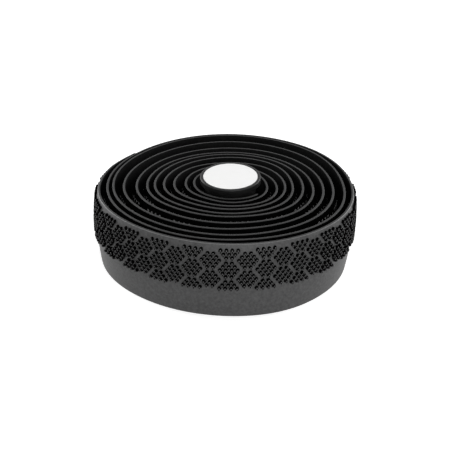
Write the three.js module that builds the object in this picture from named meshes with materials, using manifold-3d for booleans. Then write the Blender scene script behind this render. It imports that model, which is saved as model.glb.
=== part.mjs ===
// A roll of handlebar tape for a road bike, standing on its long edges, with a
// bar end plug in the middle of it. The tape is 30 mm wide foam with a grip
// pattern of studs on its outer face. Millimetres, +Z up, the plug's axis upright.
import * as THREE from 'three';
import { mergeVertices } from 'three/addons/utils/BufferGeometryUtils.js';
import Module from 'manifold-3d';

const wasm = await Module();
wasm.setup();

const { clamp, degToRad, mapLinear } = THREE.MathUtils;

// Tape
const tapeWidth = 30;
const tapeThickness = 1.2;
const tapeEdgeThickness = 1;
const outerEdgeChamfer = 0.3;
const studHeight = 1.3;
const leastTurnClearance = 0.1;

// Shape of the wound roll: the outer turn is barrel shaped, widest at the bulge
// height and drawn in at its foot and its top. Its foot sits a little to the
// left of its top, and at the front right the foot is pushed out.
const bulgeHeight = 17.35;
const outerTurnBulge = 0.15;
const footDrawnIn = 1.25;
const topDrawnIn = 0.45;
const outerTurnLean = 0.9;
const footBump = 1;
const footBumpAzimuth = degToRad(292);
const footBumpSpread = degToRad(15);
const stepsPerTurn = 30;
const tangentStep = 0.001;

// Grip pattern: clusters of studs in upright columns, each column half a
// cluster higher or lower than the next. On the outer turn each cluster is a
// pad. Between the turns the pattern is one raised strip, crowned a little.
const gripBottom = 12.3;
const gripTop = 28.9;
const columnPitch = 6.65;
const clusterPitch = 7.6;
const clusterHalfHeight = 3.45;
const clusterWidestHalf = 3.8;
const clusterNarrowHalf = 1.7;
const firstColumnCentre = 20.8;
const firstColumnFromEnd = 8.8;
const padRoot = 0.5;
const stripSlope = 0.3;
const stripCrown = 0.05;

// Bar end plug and the disc let into its cap
const capDiameter = 24.2;
const capTop = 34;
const capUnderside = 31.5;
const capRimRound = 0.5;
const capLowerChamfer = 0.25;
const barrelDiameter = 20.4;
const barrelWall = 1.6;
const barrelLeadIn = 0.8;
const capRoof = 1.2;
const finDiameter = 23.2;
const finThickness = 0.5;
const finSlope = 2;
const finCount = 3;
const lowestFin = 6;
const finPitch = 8;
const finToTapeClearance = 0.5;
const badgeDiameter = 21.8;
const badgeThickness = 0.5;
const badgeEdgeRound = 0.15;
const badgeBelowRim = 0.1;
const badgeClearance = 0.1;
const roundSegments = 36;

// How the tape lies: it starts at the front right of the plug and winds
// clockwise, seen from above. Each row is one turn, from the plug outwards, and
// gives its free room in millimetres at eighths of a turn: the first row past
// the plug's fins, the others past the band of the turn inside, whose studs are
// pressed flat where there is less room than they need. The last turn is a half.
const startAzimuth = degToRad(322);
const eighthsPerTurn = 8;
const roomByTurn = [
  [0.8, 0, 0, 1.4, 3.4, 3.4, 2.4, 1.8],
  [1, 1.8, 1.2, 2.2, 1.8, 1.8, 1.2, 2.4],
  [2.8, 1.8, 2.4, 3.4, 2.8, 1.4, 3.4, 2.4],
  [1.4, 1.4, 1.8, 2.8, 2.8, 4.2, 3.4, 1.8],
  [2.2, 2.2, 2.4, 2.4, 2.4, 2, 1.8, 2.8],
  [2.4, 1.4, 1.8, 1.8, 1.4, 0.8, 1, 2.4],
  [3.4, 3.8, 3.4, 3, 2.8, 3.4, 3.2, 2.8],
  [2.8, 3.4, 3.8, 3.8, 4.4, 5.8, 4.8, 2.8],
  [2.8, 3.4, 2.8, 2.8, 4.8, 6, 5, 3.2],
  [3.4, 2.4, 2.4, 1.2, 0.4, 0, 0.4, 2],
  [1.8, 3.2, 2.8, 2.4, 0],
];
const totalTurns = (roomByTurn.flat().length - 1) / eighthsPerTurn;

// Radius of the tape's centre line at half height, at every eighth of a turn
function radiiAtEighths() {
  const turnPitch = tapeThickness + leastTurnClearance;
  const innermost = finDiameter / 2 + finToTapeClearance + tapeThickness / 2;
  const radii = [];
  for (const row of roomByTurn) {
    for (const room of row) {
      const oneTurnInside = radii[radii.length - eighthsPerTurn];
      radii.push(room + (oneTurnInside === undefined ? innermost : oneTurnInside + turnPitch));
    }
  }
  return radii;
}

const turnRadii = radiiAtEighths();
const outerRadius = Math.max(...turnRadii);
const windingCurve = new THREE.SplineCurve(turnRadii.map((radius, i) => new THREE.Vector2(i, radius)));

function radiusAt(turns) {
  return windingCurve.getPoint(turns / totalTurns).y;
}

function centreLine(turns) {
  const azimuth = startAzimuth - 2 * Math.PI * turns;
  return new THREE.Vector2(Math.cos(azimuth), Math.sin(azimuth)).multiplyScalar(radiusAt(turns));
}

// Turns at the centre of something that lies the given length of tape before another place
function turnsBefore(turns, length) {
  return turns - length / (2 * Math.PI * centreLine(turns).length());
}

// Point of the wound tape, from its place on the flat tape: how many turns it is
// from the inner end, how far outside the tape's middle layer, and how high.
function woundPoint(turns, outward, height) {
  const before = centreLine(Math.max(turns - tangentStep, 0));
  const after = centreLine(Math.min(turns + tangentStep, totalTurns));
  const along = after.sub(before).normalize();
  const point = centreLine(turns).add(new THREE.Vector2(-along.y, along.x).multiplyScalar(outward));
  const belowTop = 1 - height / tapeWidth;
  const drawnIn = height < bulgeHeight
    ? mapLinear(height, 0, bulgeHeight, footDrawnIn, -outerTurnBulge)
    : mapLinear(height, bulgeHeight, tapeWidth, -outerTurnBulge, topDrawnIn);
  const lean = outerTurnLean * belowTop * point.length() / outerRadius;
  const fromBump = Math.cos(point.angle() - footBumpAzimuth) - 1;
  const bump = footBump * belowTop * Math.exp(fromBump / (footBumpSpread * footBumpSpread));
  point.multiplyScalar(1 + (bump - drawnIn) / outerRadius);
  return new THREE.Vector3(point.x - lean, point.y, height);
}

function mapVertices(geometry, place) {
  const position = geometry.attributes.position;
  for (let i = 0; i < position.count; i += 1) {
    const point = place(position.getX(i), position.getY(i), position.getZ(i));
    position.setXYZ(i, point.x, point.y, point.z);
  }
  return geometry;
}

// One closed mesh with shared corners and no empty triangles
function closed(geometry) {
  geometry.deleteAttribute('normal');
  geometry.deleteAttribute('uv');
  const merged = mergeVertices(geometry, 1e-4);
  const corners = Array.from(merged.index.array);
  const kept = [];
  for (let i = 0; i < corners.length; i += 3) {
    const [a, b, c] = corners.slice(i, i + 3);
    if (a !== b && b !== c && c !== a) {
      kept.push(a, b, c);
    }
  }
  merged.setIndex(kept);
  return merged;
}

function toSolid(geometry) {
  const shape = closed(geometry);
  return new wasm.Manifold(new wasm.Mesh({
    numProp: 3,
    vertProperties: Float32Array.from(shape.attributes.position.array),
    triVerts: Uint32Array.from(shape.index.array),
  }));
}

function fromSolid(solid) {
  const mesh = solid.getMesh();
  const geometry = new THREE.BufferGeometry();
  geometry.setAttribute('position', new THREE.Float32BufferAttribute(mesh.vertProperties, 3));
  geometry.setIndex(Array.from(mesh.triVerts));
  return geometry;
}

// Height of the raised strip, which the next turn outside may press flat. The
// outer turn has none.
function stripHeight(turns) {
  if (turns > totalTurns - 1) {
    return 0;
  }
  const room = radiusAt(turns + 1) - radiusAt(turns) - tapeThickness - leastTurnClearance;
  return clamp(room, 0, studHeight);
}

// The tape without its pads: a long bar of its section, then wound up. The
// section is thinner at both edges, and its top outer edge is chamfered.
function tapeBand() {
  const face = tapeThickness / 2;
  const edge = tapeEdgeThickness / 2;
  const raised = face + studHeight;
  const section = new THREE.Shape([
    new THREE.Vector2(-edge, 0),
    new THREE.Vector2(edge, 0),
    new THREE.Vector2(face, gripBottom),
    new THREE.Vector2(raised, gripBottom + stripSlope),
    new THREE.Vector2(raised + stripCrown, bulgeHeight),
    new THREE.Vector2(raised, gripTop - stripSlope),
    new THREE.Vector2(face, gripTop),
    new THREE.Vector2(edge, tapeWidth - outerEdgeChamfer),
    new THREE.Vector2(edge - outerEdgeChamfer, tapeWidth),
    new THREE.Vector2(-edge, tapeWidth),
    new THREE.Vector2(-face, bulgeHeight),
  ]);
  const steps = Math.round(totalTurns * stepsPerTurn);
  const bar = new THREE.ExtrudeGeometry(section, { steps, depth: totalTurns, bevelEnabled: false });
  return mapVertices(bar, (outward, height, turns) => {
    const overFace = Math.max(outward - face, 0);
    const pressed = stripHeight(turns) / studHeight;
    return woundPoint(turns, outward - overFace * (1 - pressed), height);
  });
}

// One cluster of studs as a raised pad, cut off where the grip pattern ends
function gripPad(turns, centreHeight) {
  const low = Math.max(-clusterHalfHeight, gripBottom - centreHeight);
  const high = Math.min(clusterHalfHeight, gripTop - centreHeight);
  const taper = (clusterWidestHalf - clusterNarrowHalf) / clusterHalfHeight;
  const lowHalf = clusterWidestHalf + taper * low;
  const highHalf = clusterWidestHalf - taper * high;
  const outline = new THREE.Shape([
    new THREE.Vector2(-lowHalf, low),
    new THREE.Vector2(lowHalf, low),
    new THREE.Vector2(clusterWidestHalf, 0),
    new THREE.Vector2(highHalf, high),
    new THREE.Vector2(-highHalf, high),
    new THREE.Vector2(-clusterWidestHalf, 0),
  ]);
  const pad = new THREE.ExtrudeGeometry(outline, { depth: padRoot + studHeight, bevelEnabled: false });
  const face = tapeThickness / 2 - padRoot;
  return mapVertices(pad, (along, up, out) => (
    woundPoint(turnsBefore(turns, along), face + out, centreHeight + up)
  ));
}

// Columns of clusters round the outer turn, from the tape's outer end inwards
function gripPads() {
  const pads = [];
  const lastTurns = totalTurns - 1 + columnPitch / (2 * Math.PI * outerRadius);
  let turns = turnsBefore(totalTurns, firstColumnFromEnd);
  for (let column = 0; turns > lastTurns; column += 1) {
    const someCentre = firstColumnCentre + (column % 2) * clusterPitch / 2;
    const clustersBelow = Math.floor((someCentre - gripBottom) / clusterPitch);
    const lowest = someCentre - clustersBelow * clusterPitch;
    for (let height = lowest; height < gripTop; height += clusterPitch) {
      pads.push(gripPad(turns, height));
    }
    turns = turnsBefore(turns, columnPitch);
  }
  return pads;
}

function tape() {
  let solid = toSolid(tapeBand());
  for (const pad of gripPads()) {
    solid = solid.add(toSolid(pad));
  }
  return fromSolid(solid);
}

// A turned form about the upright axis, from a profile of radius and height
function turned(profile) {
  return closed(new THREE.LatheGeometry(profile, roundSegments).rotateX(Math.PI / 2));
}

const recessFloor = capTop - badgeBelowRim - badgeThickness;

// Cap with a rounded rim and a recess for the badge, and under it a hollow
// barrel with sloping fins that grip the inside of a handlebar.
function barEndPlug() {
  const capRadius = capDiameter / 2;
  const barrelRadius = barrelDiameter / 2;
  const boreRadius = barrelRadius - barrelWall;
  const recessRadius = badgeDiameter / 2 + badgeClearance;
  const roof = recessFloor - capRoof;
  const outline = new THREE.Path();
  outline.moveTo(0, roof);
  outline.lineTo(boreRadius, roof);
  outline.lineTo(boreRadius, 0);
  outline.lineTo(barrelRadius - barrelLeadIn, 0);
  outline.lineTo(barrelRadius, barrelLeadIn);
  for (let fin = 0; fin < finCount; fin += 1) {
    const finTop = lowestFin + fin * finPitch;
    outline.lineTo(barrelRadius, finTop - finSlope - finThickness);
    outline.lineTo(finDiameter / 2, finTop - finThickness);
    outline.lineTo(finDiameter / 2, finTop);
    outline.lineTo(barrelRadius, finTop);
  }
  outline.lineTo(barrelRadius, capUnderside);
  outline.lineTo(capRadius - capLowerChamfer, capUnderside);
  outline.lineTo(capRadius, capUnderside + capLowerChamfer);
  outline.lineTo(capRadius, capTop - capRimRound);
  outline.quadraticCurveTo(capRadius, capTop, capRadius - capRimRound, capTop);
  outline.lineTo(recessRadius, capTop);
  outline.lineTo(recessRadius, recessFloor);
  outline.lineTo(0, recessFloor);
  return turned(outline.getPoints(3));
}

function plugBadge() {
  const radius = badgeDiameter / 2;
  const top = recessFloor + badgeThickness;
  const outline = new THREE.Path();
  outline.moveTo(0, recessFloor);
  outline.lineTo(radius, recessFloor);
  outline.lineTo(radius, top - badgeEdgeRound);
  outline.quadraticCurveTo(radius, top, radius - badgeEdgeRound, top);
  outline.lineTo(0, top);
  return turned(outline.getPoints(2));
}

function piece(name, geometry, colour, roughness) {
  geometry.computeVertexNormals();
  const material = new THREE.MeshStandardMaterial({ color: colour, roughness, metalness: 0 });
  const mesh = new THREE.Mesh(geometry, material);
  mesh.name = name;
  return mesh;
}

const roll = new THREE.Group();
roll.add(
  piece('tape', tape(), 0x4a4a4b, 0.75),
  piece('bar_end_plug', barEndPlug(), 0x1b1b1d, 0.5),
  piece('plug_badge', plugBadge(), 0xf4f4f2, 0.35),
);

// The roll isn't quite round, so the plug's axis is moved to bring the middle of
// the whole object over the origin.
const middle = new THREE.Box3().setFromObject(roll).getCenter(new THREE.Vector3());
roll.position.set(-middle.x, -middle.y, 0);

const part = new THREE.Group();
part.add(roll);

export default part;
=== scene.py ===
"""Studio scene of a roll of handlebar tape with a bar end plug in its middle.

The tape and its studs are modelled on the flat tape, X along it, Y out of its outer
face and Z up its width, and are then wound up. Sizes are in millimetres, and MM
turns them into Blender's metres.
"""
import math

import bpy
import numpy as np
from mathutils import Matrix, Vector


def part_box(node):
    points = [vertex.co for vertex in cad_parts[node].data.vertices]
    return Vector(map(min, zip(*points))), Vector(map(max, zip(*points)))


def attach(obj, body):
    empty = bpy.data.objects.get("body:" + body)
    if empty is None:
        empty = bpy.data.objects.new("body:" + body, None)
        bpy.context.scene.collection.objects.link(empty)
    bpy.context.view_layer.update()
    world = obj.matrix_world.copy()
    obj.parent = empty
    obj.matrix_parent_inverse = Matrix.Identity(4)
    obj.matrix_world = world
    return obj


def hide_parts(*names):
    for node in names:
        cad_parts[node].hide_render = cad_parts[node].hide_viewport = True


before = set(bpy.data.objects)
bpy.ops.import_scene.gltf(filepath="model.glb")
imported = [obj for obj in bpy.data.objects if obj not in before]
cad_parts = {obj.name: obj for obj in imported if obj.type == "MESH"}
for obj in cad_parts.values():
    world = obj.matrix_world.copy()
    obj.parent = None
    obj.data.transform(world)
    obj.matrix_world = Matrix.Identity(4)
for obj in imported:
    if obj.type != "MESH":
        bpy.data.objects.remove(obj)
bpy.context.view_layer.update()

MM = 0.001

# Tape, as in the part's source
TAPE_WIDTH = 30
TAPE_THICKNESS = 1.2
TAPE_EDGE_THICKNESS = 1.0
STUD_HEIGHT = 1.3
LEAST_TURN_CLEARANCE = 0.1

# Barrel shape of the roll: a smooth bulge here, two straight slopes in the source
FOOT_DRAWN_IN = 1.4
TOP_DRAWN_IN = 0.45
BULGE_HEIGHT = 17.35
OUTER_TURN_LEAN = 0.9
FOOT_BUMP = 1
FOOT_BUMP_AZIMUTH = math.radians(292)
FOOT_BUMP_SPREAD = math.radians(15)

# Bend of the last turn's rim above a height, in this scene alone
RIM_LEAN = 1
RIM_LIFT = 0.35
RIM_BEND_HEIGHT = 28
RIM_AZIMUTH = math.radians(252)
RIM_SPREAD = math.radians(36)

# How the tape winds, as in the part's source: its free room at eighths of a turn
FIN_DIAMETER = 23.2
FIN_TO_TAPE_CLEARANCE = 0.5
START_AZIMUTH = math.radians(322)
EIGHTHS_PER_TURN = 8
ROOM_BY_TURN = [
    [0.8, 0, 0, 1.4, 3.4, 3.4, 2.4, 1.8],
    [1, 1.8, 1.2, 2.2, 1.8, 1.8, 1.2, 2.4],
    [2.8, 1.8, 2.4, 3.4, 2.8, 1.4, 3.4, 2.4],
    [1.4, 1.4, 1.8, 2.8, 2.8, 4.2, 3.4, 1.8],
    [2.2, 2.2, 2.4, 2.4, 2.4, 2, 1.8, 2.8],
    [2.4, 1.4, 1.8, 1.8, 1.4, 0.8, 1, 2.4],
    [3.4, 3.8, 3.4, 3, 2.8, 3.4, 3.2, 2.8],
    [2.8, 3.4, 3.8, 3.8, 4.4, 5.8, 4.8, 2.8],
    [2.8, 3.4, 2.8, 2.8, 4.8, 6, 5, 3.2],
    [3.4, 2.4, 2.4, 1.2, 0.4, 0, 0.4, 2],
    [1.8, 3.2, 2.8, 2.4, 0],
]

# How finely the wound line is followed, as samples in all and as a step in turns
LINE_SAMPLES = 6000
DIRECTION_STEP = 0.001

# Band of tape
BAND_STEPS_PER_TURN = 128
BAND_ROWS = 15
FULL_THICKNESS_SHARE = 1 / 3
OUTER_EDGE_ROUND = 0.35
INNER_EDGE_ROUND = 0.25
END_TAPER_LENGTH = 16
END_THICKNESS_SHARE = 0.2

# Studs. Tip and sides are the band's grey below a height, counted from the stud's middle, and painted black
# as shade above it, with a painted highlight spot on the tip's middle
STUD_RADIUS = 0.8
STUD_TIP_RADIUS = 0.52
STUD_ROOT = 0.3
STUD_SUNK = 0.05
STUD_TIP_ROUND = 0.08
DIMPLE_RIM = 0.2
DIMPLE_DEPTH = 0.3
DIMPLE_TAPER = 0.7
TIP_MIDDLE_WIDTH = 0.5
GREY_TIP_BELOW = STUD_TIP_RADIUS / 4
GREY_SIDES_BELOW = -STUD_RADIUS * 0.6
OUTER_STUD_SIDES = 10
INNER_STUD_SIDES = 6

# Clusters that the studs stand in, and the columns that the clusters stand in
CLUSTER_ROWS = (2, 3, 4, 3, 2)
STUD_ROW_PITCH = 1.37
STUD_PITCH = 2.1
COLUMN_PITCH = 6.65
PAIR_PITCH = 2 * COLUMN_PITCH
FIRST_COLUMN_FROM_END = 8.8
FIRST_COLUMN_HEIGHTS = (12.9, 20.5, 28.1)
SECOND_COLUMN_HEIGHTS = (16.7, 24.3)
GRIP_BOTTOM = 12.3
GRIP_TOP = 29
OUTER_COLUMN_PAIRS = 25

# Bar end plug
CAP_DIAMETER = 24.2
CAP_TOP = 34
CAP_UNDERSIDE = 31.5
CAP_RIM_ROUND = 0.5
CAP_LOWER_ROUND = 0.25
BARREL_DIAMETER = 20.4
BARREL_WALL = 1.6
BARREL_LEAD_IN = 0.8
BARREL_ROOF = 32.2
FIN_TOPS = (6, 14, 22)
FIN_THICKNESS = 0.5
FIN_SLOPE = 2
BADGE_DIAMETER = 21.8
BADGE_THICKNESS = 0.5
BADGE_EDGE_ROUND = 0.15
BADGE_BELOW_RIM = 0.1
BADGE_CLEARANCE = 0.1
CAP_TILT = math.radians(3)
CAP_TILT_HEIGHT = 32.5
ROUND_SIDES = 96

plug_low, plug_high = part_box("bar_end_plug")
plug_centre = (plug_low + plug_high) / 2
PLUG_AXIS = np.array([plug_centre.x, plug_centre.y]) / MM

# Picking faces and edges: how near counts as there, how much of a normal counts as facing a
# side and as looking straight at it, and the least area of a disc in square metres
TOLERANCE = 0.01
FACING = 0.3
STRAIGHT = 0.9
LEAST_DISC_AREA = 1e-6
Y_AXIS = 1
Z_AXIS = 2
UP = 1
DOWN = -1


# The wound line of the tape

def radii_at_eighths():
    """Radius of the tape's centre line at half height, at every eighth of a turn."""
    turn_pitch = TAPE_THICKNESS + LEAST_TURN_CLEARANCE
    innermost = FIN_DIAMETER / 2 + FIN_TO_TAPE_CLEARANCE + TAPE_THICKNESS / 2
    radii = []
    for row in ROOM_BY_TURN:
        for room in row:
            first_turn = len(radii) < EIGHTHS_PER_TURN
            inside = innermost if first_turn else radii[-EIGHTHS_PER_TURN] + turn_pitch
            radii.append(inside + room)
    return np.array(radii)


TURN_RADII = radii_at_eighths()
TOTAL_TURNS = (len(TURN_RADII) - 1) / EIGHTHS_PER_TURN


def radius_at(turns):
    """Radius of the centre line, on a smooth curve through the eighths of a turn."""
    last = len(TURN_RADII) - 1
    place = np.clip(turns * EIGHTHS_PER_TURN, 0, last)
    index = np.minimum(place.astype(int), last - 1)
    share = place - index
    before = TURN_RADII[np.maximum(index - 1, 0)]
    start = TURN_RADII[index]
    end = TURN_RADII[index + 1]
    after = TURN_RADII[np.minimum(index + 2, last)]
    start_slope = (end - before) / 2
    end_slope = (after - start) / 2
    cubic = (2 * start - 2 * end + start_slope + end_slope) * share ** 3
    square = (3 * end - 3 * start - 2 * start_slope - end_slope) * share ** 2
    return cubic + square + start_slope * share + start


def centre_line(turns):
    """Points of the tape's centre line about the plug's axis, at half height."""
    azimuth = START_AZIMUTH - 2 * math.pi * turns
    return (radius_at(turns) * np.array([np.cos(azimuth), np.sin(azimuth)])).T


TURN_SAMPLES = np.linspace(0, TOTAL_TURNS, LINE_SAMPLES)
STEP_LENGTHS = np.linalg.norm(np.diff(centre_line(TURN_SAMPLES), axis=0), axis=1)
LENGTH_SAMPLES = np.concatenate([[0], np.cumsum(STEP_LENGTHS)])
TAPE_LENGTH = LENGTH_SAMPLES[-1]
LAST_TURN_START = np.interp(TOTAL_TURNS - 1, TURN_SAMPLES, LENGTH_SAMPLES)


def across_tape(turns):
    """Direction square to the centre line, out of the roll."""
    ahead = centre_line(np.minimum(turns + DIRECTION_STEP, TOTAL_TURNS))
    along = ahead - centre_line(np.maximum(turns - DIRECTION_STEP, 0))
    along /= np.linalg.norm(along, axis=1, keepdims=True)
    return np.column_stack([-along[:, 1], along[:, 0]])


def pressed_share(turns):
    """How much of their height the studs keep under the next turn outside."""
    room = radius_at(turns + 1) - radius_at(turns) - TAPE_THICKNESS - LEAST_TURN_CLEARANCE
    share = np.clip(room, -STUD_SUNK, STUD_HEIGHT) / STUD_HEIGHT
    return np.where(turns > TOTAL_TURNS - 1, 1, share)


def wound_depth(turns, length, depth, height):
    """Depth of points once the tape is wound. Depth is measured out of its centre line. Studs are
    pressed between the turns, and the band is thinner at its edges and at its outer end."""
    over_face = np.maximum(depth - TAPE_THICKNESS / 2, 0)
    depth = depth - over_face * (1 - pressed_share(turns))
    from_middle = np.abs(height / TAPE_WIDTH - 0.5) * 2
    at_edge = np.clip((from_middle - FULL_THICKNESS_SHARE) / (1 - FULL_THICKNESS_SHARE), 0, 1)
    depth = depth * (1 - (1 - TAPE_EDGE_THICKNESS / TAPE_THICKNESS) * at_edge)
    from_end = np.clip((TAPE_LENGTH - length) / END_TAPER_LENGTH, END_THICKNESS_SHARE, 1)
    inner_face = -TAPE_THICKNESS / 2
    return inner_face + (depth - inner_face) * from_end


def around(place, azimuth, spread):
    """1 for points at an azimuth about the plug's axis, and less the further round they lie."""
    from_middle = np.cos(np.arctan2(place[:, 1], place[:, 0]) - azimuth) - 1
    return np.exp(from_middle / spread ** 2)


def barrel_shape(place, height):
    """Draws points in towards the foot and the top of the roll, leans the foot to the left, and
    bulges it at the front right."""
    outer_radius = TURN_RADII.max()
    below_top = 1 - height / TAPE_WIDTH
    radius = np.linalg.norm(place, axis=1)
    bump = FOOT_BUMP * below_top * around(place, FOOT_BUMP_AZIMUTH, FOOT_BUMP_SPREAD)
    reach = np.where(height < BULGE_HEIGHT, BULGE_HEIGHT, TAPE_WIDTH - BULGE_HEIGHT)
    most = np.where(height < BULGE_HEIGHT, FOOT_DRAWN_IN, TOP_DRAWN_IN)
    drawn_in = most * ((height - BULGE_HEIGHT) / reach) ** 2
    shaped = place * (1 + (bump - drawn_in) / outer_radius)[:, None]
    shaped[:, 0] -= OUTER_TURN_LEAN * below_top * radius / outer_radius
    return shaped


def bent_rim(turns, place, height):
    """Leans the last turn's rim in and lifts it a little, most at the front left."""
    radius = np.linalg.norm(place, axis=1)
    above_bend = np.clip((height - RIM_BEND_HEIGHT) / (TAPE_WIDTH - RIM_BEND_HEIGHT), 0, 1)
    share = above_bend * around(place, RIM_AZIMUTH, RIM_SPREAD)
    share = np.where(turns > TOTAL_TURNS - 1, share, 0)
    return place * (1 - RIM_LEAN * share / radius)[:, None], height + RIM_LIFT * share


def wind_up(piece):
    """Moves a piece from the flat tape to its place on the wound one."""
    mesh = piece.data
    flat = np.empty(len(mesh.vertices) * 3)
    mesh.vertices.foreach_get("co", flat)
    length, depth, height = flat.reshape(-1, 3).T / MM
    turns = np.interp(length, LENGTH_SAMPLES, TURN_SAMPLES)
    depth = wound_depth(turns, length, depth, height)
    place = barrel_shape(centre_line(turns) + across_tape(turns) * depth[:, None], height)
    place, height = bent_rim(turns, place, height)
    wound = np.column_stack([place + PLUG_AXIS, height]) * MM
    mesh.vertices.foreach_set("co", wound.ravel())
    mesh.update()


# Materials

PATTERN_FROM = 0.3
PATTERN_TO = 0.7
BLUE_TINT = 1.01


def new_material(name):
    """An empty principled material, with its nodes, links and shader."""
    material = bpy.data.materials.new(name)
    material.use_nodes = True
    nodes = material.node_tree.nodes
    return material, nodes, material.node_tree.links, nodes["Principled BSDF"]


def add_noise(nodes, links, scale, detail, roughness):
    """A noise pattern on Object coordinates. Its scale is in waves per metre."""
    place = nodes.new("ShaderNodeTexCoord")
    noise = nodes.new("ShaderNodeTexNoise")
    noise.inputs["Scale"].default_value = scale
    noise.inputs["Detail"].default_value = detail
    noise.inputs["Roughness"].default_value = roughness
    links.new(place.outputs["Object"], noise.inputs["Vector"])
    return noise.outputs["Fac"]


def add_ramp(nodes, links, pattern, first, last):
    """A colour ramp over a pattern's middle values, from a first to a last colour."""
    ramp = nodes.new("ShaderNodeValToRGB")
    stops = ((PATTERN_FROM, first), (PATTERN_TO, last))
    for element, (place, colour) in zip(ramp.color_ramp.elements, stops):
        element.position = place
        element.color = (*colour, 1)
    links.new(pattern, ramp.inputs["Fac"])
    return ramp.outputs["Color"]


def add_bump(nodes, links, shader, pattern, distance, strength):
    """Relief from a pattern, its distance in metres."""
    bump = nodes.new("ShaderNodeBump")
    bump.inputs["Distance"].default_value = distance
    bump.inputs["Strength"].default_value = strength
    links.new(pattern, bump.inputs["Height"])
    links.new(bump.outputs["Normal"], shader.inputs["Normal"])


def add_math(nodes, links, operation, first, second):
    """A sum or product of two values, held between 0 and 1."""
    node = nodes.new("ShaderNodeMath")
    node.operation = operation
    node.use_clamp = True
    links.new(first, node.inputs[0])
    links.new(second, node.inputs[1])
    return node.outputs["Value"]


def grey(level):
    """A grey with a faint blue tint."""
    return (level, level, level * BLUE_TINT)


def foam_material(name, dark, light, roughness, specular):
    """Moulded foam: a fine mottle from dark to light, and the grain of its skin."""
    material, nodes, links, shader = new_material(name)
    mottle = add_noise(nodes, links, scale=900, detail=4, roughness=0.65)
    colour = add_ramp(nodes, links, mottle, grey(dark), grey(light))
    links.new(colour, shader.inputs["Base Color"])
    grain = add_noise(nodes, links, scale=2600, detail=3, roughness=0.6)
    add_bump(nodes, links, shader, grain, distance=0.0001, strength=0.6)
    shader.inputs["Roughness"].default_value = roughness
    shader.inputs["Specular IOR Level"].default_value = specular
    return material


def plug_material():
    """Black moulded plastic, satin, with a faint cloudy gloss."""
    material, nodes, links, shader = new_material("black_plug_plastic")
    clouds = add_noise(nodes, links, scale=300, detail=3, roughness=0.5)
    colour = add_ramp(nodes, links, clouds, grey(0.003), grey(0.005))
    gloss = add_ramp(nodes, links, clouds, grey(0.38), grey(0.5))
    links.new(colour, shader.inputs["Base Color"])
    links.new(gloss, shader.inputs["Roughness"])
    shader.inputs["Specular IOR Level"].default_value = 0.25
    grain = add_noise(nodes, links, scale=3000, detail=2, roughness=0.5)
    add_bump(nodes, links, shader, grain, distance=0.00002, strength=0.4)
    return material


def badge_material():
    """White plastic film, with a very faint tone and a soft gloss."""
    material, nodes, links, shader = new_material("white_badge_film")
    clouds = add_noise(nodes, links, scale=180, detail=3, roughness=0.5)
    colour = add_ramp(nodes, links, clouds, first=(0.94, 0.94, 0.935), last=(0.96, 0.96, 0.955))
    links.new(colour, shader.inputs["Base Color"])
    shader.inputs["Roughness"].default_value = 0.35
    grain = add_noise(nodes, links, scale=1500, detail=2, roughness=0.5)
    add_bump(nodes, links, shader, grain, distance=0.00001, strength=0.3)
    return material


skin_foam = foam_material("dark_grey_foam", dark=0.024, light=0.062, roughness=0.55, specular=0.4)
# Painted highlight: a lighter foam on the rounded outer rim of the last turn, standing in for the light
# that catches that edge
rim_highlight_foam = foam_material("outer_rim_painted_highlight", dark=0.1, light=0.16, roughness=0.5, specular=0.5)
edge_foam = foam_material("cut_edge_foam", dark=0.018, light=0.034, roughness=0.7, specular=0.3)
# Painted shade: the tape's inner face is near black, for the shade inside the roll
inner_shade_foam = foam_material("inner_face_painted_shade", dark=0.007, light=0.013, roughness=0.9, specular=0)
# Painted shade: near black foam on the inner turns' outer faces in the gaps between turns, and on the
# studs' sides, upper tips and dimples
shade_black_foam = foam_material("painted_shade_black", dark=0.001, light=0.002, roughness=0.8, specular=0)
# Painted highlights: light spots on the middles of the stud tips, lighter still on the inner turns so that
# they show in the shaded gaps
outer_tip_highlight = foam_material("outer_stud_tip_painted_highlight", dark=0.07, light=0.1, roughness=0.6, specular=0.2)
inner_tip_highlight = foam_material("inner_stud_tip_painted_highlight", dark=0.18, light=0.24, roughness=0.6, specular=0.3)


# Modelling helpers

def added(name):
    """The primitive that was just added, under its own name."""
    piece = bpy.context.object
    piece.name = name
    piece.data.name = name
    return piece


def make_active(piece):
    """Selects one piece alone and makes it the active one."""
    bpy.ops.object.select_all(action="DESELECT")
    piece.select_set(True)
    bpy.context.view_layer.objects.active = piece


def apply_place(piece):
    """Moves a piece's location, rotation and scale into its mesh."""
    make_active(piece)
    bpy.ops.object.transform_apply(location=True, rotation=True, scale=True)


def clear_selection(piece, mode):
    """Makes a piece active, with none of its faces or edges selected."""
    make_active(piece)
    bpy.ops.object.mode_set(mode="EDIT")
    bpy.ops.mesh.select_mode(type=mode)
    bpy.ops.mesh.select_all(action="DESELECT")
    bpy.ops.object.mode_set(mode="OBJECT")


def edit_faces(piece, wanted):
    """Opens edit mode with the faces selected that the test wanted(face) picks."""
    clear_selection(piece, "FACE")
    for polygon in piece.data.polygons:
        polygon.select = wanted(polygon)
    bpy.ops.object.mode_set(mode="EDIT")


def edit_edges(piece, wanted):
    """Opens edit mode with the edges selected whose two ends pass the test."""
    clear_selection(piece, "EDGE")
    vertices = piece.data.vertices
    for line in piece.data.edges:
        line.select = wanted(vertices[line.vertices[0]].co, vertices[line.vertices[1]].co)
    bpy.ops.object.mode_set(mode="EDIT")


def close_edit():
    bpy.ops.object.mode_set(mode="OBJECT")


def near(value, target):
    """Whether a coordinate in metres is at a target in millimetres."""
    return abs(value / MM - target) < TOLERANCE


def ends_at(axis, target):
    """A test for edges with both ends at a place along an axis."""
    return lambda a, b: near(a[axis], target) and near(b[axis], target)


def discs(way):
    """A test for large round faces that look straight up or down."""
    return lambda polygon: polygon.normal.z * way > STRAIGHT and polygon.area > LEAST_DISC_AREA


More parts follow.
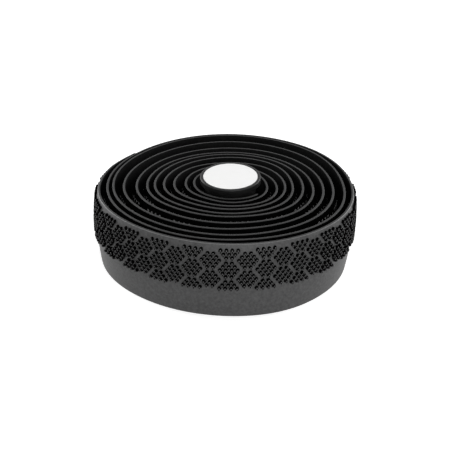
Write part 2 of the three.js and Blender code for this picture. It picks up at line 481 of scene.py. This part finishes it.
def extrude(offset):
    """Extrudes what is selected by an offset in millimetres."""
    bpy.ops.mesh.extrude_region_move(TRANSFORM_OT_translate={"value": [step * MM for step in offset]})


def extrude_ring(rise, scale):
    """Extrudes the selected round face up or down its axis, and resizes its new end."""
    extrude((0, 0, rise))
    bpy.ops.transform.resize(value=(scale, scale, 1))


def round_edges(piece, wanted, rounding, segments):
    """Rounds the edges whose two ends pass the test."""
    edit_edges(piece, wanted)
    bpy.ops.mesh.bevel(offset=rounding * MM, segments=segments)
    close_edit()


def finish_surface(piece, angle):
    """Turns a piece's normals outwards, and shades it smooth below an angle in degrees."""
    make_active(piece)
    bpy.ops.object.mode_set(mode="EDIT")
    bpy.ops.mesh.select_all(action="SELECT")
    bpy.ops.mesh.normals_make_consistent(inside=False)
    close_edit()
    bpy.ops.object.shade_smooth_by_angle(angle=math.radians(angle))


def paint(piece, foams, foam_of):
    """Gives a piece its foams, and each face the one that foam_of(face) says."""
    for foam in foams:
        piece.data.materials.append(foam)
    for polygon in piece.data.polygons:
        polygon.material_index = foams.index(foam_of(polygon))


# The tape and its studs

def band_foam(polygon):
    """The foam of a face of the band. Outside, the last turn has the skin and a painted highlight on its
    rounded rim, and the other turns are painted black as the shade between the turns.
    The cut edges have a foam of their own, and the inner face is painted near black as the shade inside the
    roll."""
    on_last_turn = polygon.center.x > LAST_TURN_START * MM
    outward = polygon.normal.y > FACING
    if abs(polygon.normal.z) > FACING and polygon.normal.y > -FACING:
        # The last turn's outward rounding takes the painted highlight
        return rim_highlight_foam if on_last_turn and outward else edge_foam
    if outward:
        # Outside, the inner turns are painted black as the shade between the turns
        return skin_foam if on_last_turn else shade_black_foam
    # Inner faces are painted near black as shade
    return inner_shade_foam


def along_tape(a, b):
    """Whether an edge runs along the tape at one of its two sides."""
    at_side = near(a.z, 0) or near(a.z, TAPE_WIDTH)
    return at_side and near(a.z, b.z / MM)


def tape_band():
    """The tape without studs: a grid as long and wide as it, thickened and rounded at its edges."""
    bpy.ops.mesh.primitive_grid_add(
        x_subdivisions=round(TOTAL_TURNS * BAND_STEPS_PER_TURN),
        y_subdivisions=BAND_ROWS,
        size=MM,
        location=(TAPE_LENGTH / 2 * MM, -TAPE_THICKNESS / 2 * MM, TAPE_WIDTH / 2 * MM),
        rotation=(math.pi / 2, 0, 0),
    )
    band = added("tape_band")
    band.scale = (TAPE_LENGTH, TAPE_WIDTH, 1)
    apply_place(band)
    edit_faces(band, lambda polygon: True)
    extrude((0, TAPE_THICKNESS, 0))
    close_edit()

    for side, rounding in ((1, OUTER_EDGE_ROUND), (-1, INNER_EDGE_ROUND)):
        on_face = ends_at(Y_AXIS, side * TAPE_THICKNESS / 2)
        round_edges(band, lambda a, b: on_face(a, b) and along_tape(a, b), rounding, segments=3)
    finish_surface(band, angle=40)
    paint(band, (skin_foam, rim_highlight_foam, edge_foam, inner_shade_foam, shade_black_foam), band_foam)
    wind_up(band)
    return band


def sink_dimple(peg, tip):
    """Rounds a stud's tip a little, and sinks a tapering dimple into it."""
    round_edges(peg, ends_at(Y_AXIS, tip), STUD_TIP_ROUND, segments=1)
    edit_faces(peg, lambda polygon: near(polygon.center.y, tip) and polygon.normal.y > STRAIGHT)
    bpy.ops.mesh.inset(thickness=DIMPLE_RIM * MM)
    extrude((0, -DIMPLE_DEPTH, 0))
    bpy.ops.transform.resize(value=(DIMPLE_TAPER, 1, DIMPLE_TAPER))
    close_edit()
    finish_surface(peg, angle=50)


def stud(sides, dimpled, tip_highlight_foam):
    """One stud at the origin of the flat tape, with its root in the band. It is painted black as shade,
    with a painted highlight spot on the middle of its tip and the band's grey on the tip's lower left and
    right.
    A dimpled one has its highlight spot above its dimple, and is grey on its lowest sides too."""
    tip = TAPE_THICKNESS / 2 + STUD_HEIGHT
    depth = STUD_ROOT + STUD_HEIGHT
    bpy.ops.mesh.primitive_cone_add(
        vertices=sides,
        radius1=STUD_RADIUS * MM,
        radius2=STUD_TIP_RADIUS * MM,
        depth=depth * MM,
        location=(0, (tip - depth / 2) * MM, 0),
        rotation=(-math.pi / 2, 0, 0),
    )
    peg = added("stud")
    apply_place(peg)
    if dimpled:
        sink_dimple(peg, tip)

    def stud_foam(polygon):
        x, y, z = polygon.center / MM
        in_middle = abs(x) < TIP_MIDDLE_WIDTH / 2
        on_tip = y > tip - STUD_TIP_ROUND
        # Painted highlight spot on the middle of the tip
        if on_tip and in_middle and (z > 0 or not dimpled):
            return tip_highlight_foam
        if on_tip and not in_middle and z < GREY_TIP_BELOW:
            return skin_foam
        if dimpled and not on_tip and z < GREY_SIDES_BELOW:
            return skin_foam
        # The rest of the stud is painted black as shade
        return shade_black_foam

    paint(peg, (shade_black_foam, tip_highlight_foam, skin_foam), stud_foam)
    return peg


def cluster_places(column, centre_height):
    """Places of a cluster's studs, along the tape and up it, within the grip pattern."""
    places = []
    middle_row = len(CLUSTER_ROWS) // 2
    for row, count in enumerate(CLUSTER_ROWS):
        height = centre_height + (middle_row - row) * STUD_ROW_PITCH
        if GRIP_BOTTOM < height < GRIP_TOP:
            for index in range(count):
                places.append((column + (index - (count - 1) / 2) * STUD_PITCH, height))
    return places


def pair_of_columns(name, model):
    """Copies of a stud in two neighbouring columns of clusters, the first at the origin and the
    second before it. The model itself is used up."""
    places = []
    for height in FIRST_COLUMN_HEIGHTS:
        places += cluster_places(0, height)
    for height in SECOND_COLUMN_HEIGHTS:
        places += cluster_places(-COLUMN_PITCH, height)
    copies = []
    for along, height in places:
        copy = model.copy()
        copy.data = model.data.copy()
        copy.location = (along * MM, 0, height * MM)
        bpy.context.collection.objects.link(copy)
        copies.append(copy)
    bpy.data.objects.remove(model)
    make_active(copies[0])
    for copy in copies:
        copy.select_set(True)
    bpy.ops.object.join()
    pair = added(name)
    apply_place(pair)
    return pair


def grip(name, model, first_pair, pairs):
    """Studs of some pairs of columns, counted from the tape's outer end, wound up."""
    studs = pair_of_columns(name, model)
    studs.location.x = (TAPE_LENGTH - FIRST_COLUMN_FROM_END - first_pair * PAIR_PITCH) * MM
    apply_place(studs)
    array = studs.modifiers.new("columns", "ARRAY")
    array.count = pairs
    array.use_relative_offset = False
    array.use_constant_offset = True
    array.constant_offset_displace = (-PAIR_PITCH * MM, 0, 0)
    bpy.ops.object.modifier_apply(modifier=array.name)
    wind_up(studs)
    return studs


def outer_turn_studs():
    """Dimpled studs of the last turn."""
    model = stud(OUTER_STUD_SIDES, dimpled=True, tip_highlight_foam=outer_tip_highlight)
    return grip("outer_turn_studs", model, 0, OUTER_COLUMN_PAIRS)


def inner_turn_studs():
    """Plain studs of the turns inside it, as far in as whole pairs of columns go."""
    model = stud(INNER_STUD_SIDES, dimpled=False, tip_highlight_foam=inner_tip_highlight)
    all_pairs = int((TAPE_LENGTH - FIRST_COLUMN_FROM_END) / PAIR_PITCH)
    return grip("inner_turn_studs", model, OUTER_COLUMN_PAIRS, all_pairs - OUTER_COLUMN_PAIRS)


# The bar end plug and its badge

def disc(name, diameter, low, high):
    """A disc about the origin's axis, from a low to a high height."""
    bpy.ops.mesh.primitive_cylinder_add(
        vertices=ROUND_SIDES,
        radius=diameter / 2 * MM,
        depth=(high - low) * MM,
        location=(0, 0, (high + low) / 2 * MM),
    )
    piece = added(name)
    apply_place(piece)
    return piece


def tilt_cap():
    """Tilts what is selected towards the viewer, as the cap sits in the photo."""
    bpy.ops.transform.rotate(value=-CAP_TILT, orient_axis="X", center_override=(0, 0, CAP_TILT_HEIGHT * MM))


def stand_on_axis(piece):
    """Moves a piece from the origin's axis to the plug's."""
    piece.location = (*(PLUG_AXIS * MM), 0)
    apply_place(piece)


def sink_recess(plug):
    """Sinks the badge's recess into the top of the cap."""
    recess_radius = BADGE_DIAMETER / 2 + BADGE_CLEARANCE
    edit_faces(plug, discs(UP))
    bpy.ops.mesh.inset(thickness=(CAP_DIAMETER / 2 - CAP_RIM_ROUND - recess_radius) * MM)
    extrude((0, 0, -BADGE_BELOW_RIM - BADGE_THICKNESS))
    close_edit()


def grow_barrel(plug):
    """Grows the barrel with its fins down from the cap, and hollows it up from its foot."""
    barrel_radius = BARREL_DIAMETER / 2
    edit_faces(plug, discs(DOWN))
    bpy.ops.mesh.inset(thickness=(CAP_DIAMETER / 2 - CAP_LOWER_ROUND - barrel_radius) * MM)
    height = CAP_UNDERSIDE
    radius = barrel_radius
    for fin_top in reversed(FIN_TOPS):
        rings = (
            (fin_top, barrel_radius),
            (fin_top, FIN_DIAMETER / 2),
            (fin_top - FIN_THICKNESS, FIN_DIAMETER / 2),
            (fin_top - FIN_SLOPE - FIN_THICKNESS, barrel_radius),
        )
        for ring_height, ring_radius in rings:
            extrude_ring(ring_height - height, ring_radius / radius)
            height = ring_height
            radius = ring_radius
    extrude_ring(BARREL_LEAD_IN - height, 1)
    extrude_ring(-BARREL_LEAD_IN, 1 - BARREL_LEAD_IN / radius)
    bpy.ops.mesh.inset(thickness=(BARREL_WALL - BARREL_LEAD_IN) * MM)
    extrude_ring(BARREL_ROOF, 1)
    close_edit()


def bar_end_plug():
    """Cap with a recess and a rounded rim, and under it the hollow barrel with its fins."""
    plug = disc("bar_end_plug_moulding", CAP_DIAMETER, CAP_UNDERSIDE, CAP_TOP)
    round_edges(plug, ends_at(Z_AXIS, CAP_TOP), CAP_RIM_ROUND, segments=4)
    round_edges(plug, ends_at(Z_AXIS, CAP_UNDERSIDE), CAP_LOWER_ROUND, segments=4)
    sink_recess(plug)
    grow_barrel(plug)
    edit_faces(plug, lambda polygon: polygon.center.z / MM > CAP_UNDERSIDE - TOLERANCE)
    tilt_cap()
    close_edit()
    finish_surface(plug, angle=35)
    stand_on_axis(plug)
    plug.data.materials.append(plug_material())
    return plug


def plug_badge():
    """The white disc in the cap's recess, plain, with a rounded edge."""
    top = CAP_TOP - BADGE_BELOW_RIM
    badge = disc("plug_badge_disc", BADGE_DIAMETER, top - BADGE_THICKNESS, top)
    round_edges(badge, ends_at(Z_AXIS, top), BADGE_EDGE_ROUND, segments=3)
    edit_faces(badge, discs(UP))
    bpy.ops.mesh.inset(thickness=BADGE_EDGE_ROUND * MM)
    bpy.ops.mesh.select_all(action="SELECT")
    tilt_cap()
    close_edit()
    finish_surface(badge, angle=35)
    stand_on_axis(badge)
    badge.data.materials.append(badge_material())
    return badge


def dress(piece, slot, *nodes):
    """Sets a piece in place of the solids that it stands for."""
    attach(piece, "root")
    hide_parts(*nodes)


# Studio. The floor and the lamps are sized and placed in metres

FLOOR_SIZE = 4.0
FLOOR_GREY = (0.8, 0.8, 0.8, 1)
FLOOR_GLOW = 0.62
# No glow inside these radii: a painted shade under the roll
GLOW_FROM_RADIUS = 46
FULL_GLOW_RADIUS = 49
WORLD_LIGHT = 0.32
WHITE = (1, 1, 1, 1)
CAMERA_TARGET = Vector((PLUG_AXIS[0] - 1.3, PLUG_AXIS[1] + 0.5, TAPE_WIDTH / 2)) * MM
CAMERA_DISTANCE = 400
CAMERA_ELEVATION = math.radians(27.44)
CAMERA_FOCAL = 78.46
CAMERA_SENSOR = 36
CAMERA_SHIFT = (-0.00483, -0.01681)


def camera():
    """The camera looks along +Y, down at the roll."""
    data = bpy.data.cameras.new("camera")
    data.lens = CAMERA_FOCAL
    data.sensor_width = CAMERA_SENSOR
    data.shift_x, data.shift_y = CAMERA_SHIFT
    data.clip_start = 0.01
    view = bpy.data.objects.new("camera", data)
    away = Vector((0, -math.cos(CAMERA_ELEVATION), math.sin(CAMERA_ELEVATION)))
    view.location = CAMERA_TARGET + away * (CAMERA_DISTANCE * MM)
    view.rotation_euler = (math.pi / 2 - CAMERA_ELEVATION, 0, 0)
    bpy.context.collection.objects.link(view)
    bpy.context.scene.camera = view


def softbox(name, place, size, power):
    """A square lamp that faces the roll."""
    data = bpy.data.lights.new(name, "AREA")
    data.shape = "SQUARE"
    data.size = size
    data.energy = power
    lamp = bpy.data.objects.new(name, data)
    lamp.location = place
    lamp.rotation_euler = (-Vector(place)).to_track_quat("-Z", "Y").to_euler()
    bpy.context.collection.objects.link(lamp)


def looked_at(nodes, links):
    """1 where the camera, a reflection or a clear piece looks, and 0 for light that falls on things."""
    path = nodes.new("ShaderNodeLightPath")
    seen = add_math(nodes, links, "ADD", path.outputs["Is Camera Ray"], path.outputs["Is Glossy Ray"])
    return add_math(nodes, links, "ADD", seen, path.outputs["Is Transmission Ray"])


def glow_around_roll(nodes, links):
    """The floor's glow: none under the roll, a painted shade standing in for its contact shadow there, and
    all of it from a little inside its outline.
    """
    place = nodes.new("ShaderNodeTexCoord")
    radius = nodes.new("ShaderNodeVectorMath")
    radius.operation = "LENGTH"
    links.new(place.outputs["Object"], radius.inputs[0])
    glow = nodes.new("ShaderNodeMapRange")
    glow.inputs["From Min"].default_value = GLOW_FROM_RADIUS * MM
    glow.inputs["From Max"].default_value = FULL_GLOW_RADIUS * MM
    glow.inputs["To Max"].default_value = FLOOR_GLOW
    links.new(radius.outputs["Value"], glow.inputs["Value"])
    return glow.outputs["Result"]


def floor():
    """A plain white floor that keeps the roll's soft shadow, and is left without glow under the roll as a
    painted shade, so it stays dark between its turns.
    """
    bpy.ops.mesh.primitive_plane_add(size=FLOOR_SIZE)
    plane = added("floor")
    material, nodes, links, shader = new_material("white_floor")
    shader.inputs["Base Color"].default_value = FLOOR_GREY
    shader.inputs["Roughness"].default_value = 1
    shader.inputs["Specular IOR Level"].default_value = 0
    shader.inputs["Emission Color"].default_value = WHITE
    glow = add_math(nodes, links, "MULTIPLY", looked_at(nodes, links), glow_around_roll(nodes, links))
    links.new(glow, shader.inputs["Emission Strength"])
    plane.data.materials.append(material)


def white_world():
    """White to the camera, and a softer white to everything that it lights."""
    world = bpy.data.worlds.new("studio")
    bpy.context.scene.world = world
    world.use_nodes = True
    nodes = world.node_tree.nodes
    links = world.node_tree.links
    background = nodes["Background"]
    background.inputs["Color"].default_value = WHITE
    strength = nodes.new("ShaderNodeMapRange")
    strength.inputs["To Min"].default_value = WORLD_LIGHT
    strength.inputs["To Max"].default_value = 1
    links.new(looked_at(nodes, links), strength.inputs["Value"])
    links.new(strength.outputs["Result"], background.inputs["Strength"])


dress(tape_band(), "tape_foam", "tape")
dress(outer_turn_studs(), "tape_foam", "tape")
dress(inner_turn_studs(), "tape_foam", "tape")
dress(bar_end_plug(), "plug_plastic", "bar_end_plug")
dress(plug_badge(), "badge_white", "plug_badge")

floor()
white_world()
softbox("left_softbox", place=(-0.8, 0.6, 0.3), size=0.5, power=5.5)
softbox("right_softbox", place=(0.8, 0.5, 0.3), size=0.5, power=5)
softbox("front_softbox", place=(0.25, -0.87, 0.4), size=0.7, power=4.9)
softbox("top_softbox", place=(0, 0.1, 0.9), size=0.7, power=1.8)
camera()
bpy.context.scene.view_settings.view_transform = "Standard"
